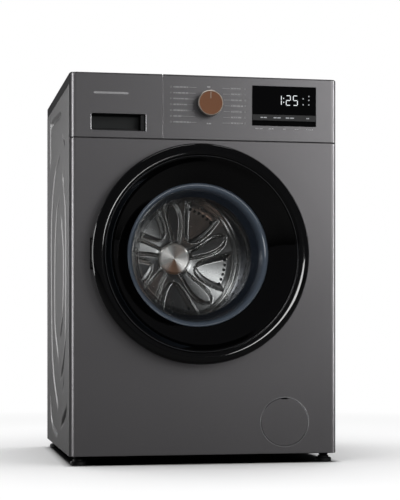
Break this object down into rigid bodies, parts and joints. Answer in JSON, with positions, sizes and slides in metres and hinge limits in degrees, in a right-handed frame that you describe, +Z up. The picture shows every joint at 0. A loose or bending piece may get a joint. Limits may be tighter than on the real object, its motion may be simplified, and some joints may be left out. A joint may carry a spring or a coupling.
{
  "type": "front load washing machine",
  "caption": "Free-standing front load washing machine with a round glass door, sprung tub, belt-driven drum, detergent drawer, program knob and display.",
  "frame": {"origin": "middle of the footprint, on the floor under the feet", "axes": "+Z up, +X to the right as seen from the front, the door facing -Y"},
  "size_m": [0.595, 0.602, 0.85],
  "materials": {
    "graphite_paint": "satin metallic graphite paint",
    "graphite_fascia": "satin metallic graphite paint on plastic",
    "zinc_steel": "galvanised sheet and plain steel",
    "black_gloss": "piano black",
    "black_plastic": "fine-grained black",
    "white_plastic": "white moulded plastic",
    "grey_plastic": "grey moulded plastic",
    "stainless": "polished stainless steel",
    "chrome": "bright trim",
    "copper_disc": "spun copper-coloured metal",
    "door_glass": "clear moulded glass, blue at its edge",
    "gasket_rubber": "grey moulded rubber",
    "belt_rubber": "ribbed black rubber",
    "concrete": "cast concrete"
  },
  "bodies": {
    "cabinet": {"base_tray": "zinc_steel", "left_side_panel": "graphite_paint", "right_side_panel": "graphite_paint", "rear_panel": "zinc_steel", "rear_service_cover": "zinc_steel", "top_cover": "graphite_paint", "front_panel": "graphite_paint", "front_rail": "zinc_steel", "water_inlet_valve": "white_plastic", "cord_gland": "black_plastic", "door_lock": "black_plastic", "hinge_bracket": "zinc_steel", "door_gasket": "gasket_rubber", "control_panel": "graphite_fascia", "display_window": "black_gloss", "dispenser_housing": "grey_plastic", "damper_tube_left": "grey_plastic", "damper_tube_right": "grey_plastic", "drain_pump_body": "white_plastic"},
    "door": {"door_outer_ring": "black_gloss", "door_trim_ring": "chrome", "door_dish": "black_gloss", "door_glass": "door_glass", "door_inner_frame": "black_plastic", "door_hinge_leaf": "zinc_steel"},
    "door_latch": {"door_latch_hook": "zinc_steel"},
    "tub": {"tub_front": "grey_plastic", "tub_rear": "grey_plastic", "upper_counterweight": "concrete", "motor_housing": "zinc_steel", "drive_belt": "belt_rubber", "damper_rod_left": "zinc_steel", "damper_rod_right": "zinc_steel", "suspension_spring_left": "zinc_steel", "suspension_spring_right": "zinc_steel"},
    "drum": {"drum_shell": "stainless", "drum_front": "stainless", "drum_back": "stainless", "drum_lifter_1": "stainless", "drum_lifter_2": "stainless", "drum_lifter_3": "stainless", "drum_spider": "zinc_steel", "hub_cap": "stainless", "drum_pulley": "zinc_steel"},
    "motor_rotor": {"motor_pulley": "zinc_steel"},
    "drawer": {"drawer_front": "graphite_fascia", "drawer_tray": "white_plastic"},
    "knob": {"program_knob": "black_gloss", "knob_face": "copper_disc"},
    "filter_flap": {"filter_cover": "graphite_paint"},
    "drain_filter": {"drain_filter": "grey_plastic"},
    "key_1": {"panel_key_1": "black_gloss"},
    "key_2": {"panel_key_2": "black_gloss"},
    "key_3": {"panel_key_3": "black_gloss"},
    "key_4": {"panel_key_4": "black_gloss"},
    "key_5": {"panel_key_5": "black_gloss"},
    "foot_front_left": {"foot_front_left": "black_plastic"},
    "foot_front_right": {"foot_front_right": "black_plastic"},
    "foot_rear_left": {"foot_rear_left": "black_plastic"},
    "foot_rear_right": {"foot_rear_right": "black_plastic"}
  },
  "joints": [
    {"name": "door_hinge", "type": "hinge", "parent": "cabinet", "child": "door", "pos_m": [-0.246, -0.279, 0.458], "axis": [0, 0, -1], "range_deg": [0, 125]},
    {"name": "latch_pivot", "type": "hinge", "parent": "door", "child": "door_latch", "pos_m": [0.179, -0.267, 0.458], "axis": [0, 0, 1], "range_deg": [0, 8], "stiffness_Nm_per_rad": 0.4},
    {"name": "tub_bounce", "type": "slide", "parent": "cabinet", "child": "tub", "axis": [0, 0, 1], "range_m": [-0.008, 0.008], "stiffness_N_per_m": 12000, "springref_m": 0.0426, "deforming": ["suspension_spring_left", "suspension_spring_right"]},
    {"name": "drum_spin", "type": "hinge", "parent": "tub", "child": "drum", "pos_m": [0, 0.041, 0.468], "axis": [0, 1, 0], "continuous": true},
    {"name": "motor_spin", "type": "hinge", "parent": "tub", "child": "motor_rotor", "pos_m": [-0.06, 0.211, 0.14], "axis": [0, 1, 0], "continuous": true},
    {"name": "drawer_slide", "type": "slide", "parent": "cabinet", "child": "drawer", "axis": [0, -1, 0], "range_m": [0, 0.2]},
    {"name": "knob_turn", "type": "hinge", "parent": "cabinet", "child": "knob", "pos_m": [0.007, -0.259, 0.787], "axis": [0, 1, 0], "continuous": true},
    {"name": "filter_flap_hinge", "type": "hinge", "parent": "cabinet", "child": "filter_flap", "pos_m": [0.178, -0.2598, 0.037], "axis": [1, 0, 0], "range_deg": [0, 90]},
    {"name": "drain_filter_turn", "type": "hinge", "parent": "cabinet", "child": "drain_filter", "pos_m": [0.178, -0.209, 0.09], "axis": [0, 1, 0], "range_deg": [0, 360]},
    {"name": "key_1_press", "type": "slide", "parent": "cabinet", "child": "key_1", "axis": [0, 1, 0], "range_m": [0, 0.0015], "stiffness_N_per_m": 250},
    {"name": "key_2_press", "type": "slide", "parent": "cabinet", "child": "key_2", "axis": [0, 1, 0], "range_m": [0, 0.0015], "stiffness_N_per_m": 250},
    {"name": "key_3_press", "type": "slide", "parent": "cabinet", "child": "key_3", "axis": [0, 1, 0], "range_m": [0, 0.0015], "stiffness_N_per_m": 250},
    {"name": "key_4_press", "type": "slide", "parent": "cabinet", "child": "key_4", "axis": [0, 1, 0], "range_m": [0, 0.0015], "stiffness_N_per_m": 250},
    {"name": "key_5_press", "type": "slide", "parent": "cabinet", "child": "key_5", "axis": [0, 1, 0], "range_m": [0, 0.0015], "stiffness_N_per_m": 250},
    {"name": "foot_front_left_level", "type": "slide", "parent": "cabinet", "child": "foot_front_left", "axis": [0, 0, 1], "range_m": [-0.015, 0]},
    {"name": "foot_front_right_level", "type": "slide", "parent": "cabinet", "child": "foot_front_right", "axis": [0, 0, 1], "range_m": [-0.015, 0]},
    {"name": "foot_rear_left_level", "type": "slide", "parent": "cabinet", "child": "foot_rear_left", "axis": [0, 0, 1], "range_m": [-0.015, 0]},
    {"name": "foot_rear_right_level", "type": "slide", "parent": "cabinet", "child": "foot_rear_right", "axis": [0, 0, 1], "range_m": [-0.015, 0]}
  ],
  "couplings": [
    {"joint": "motor_spin", "follows": "drum_spin", "ratio": 10.357}
  ]
}
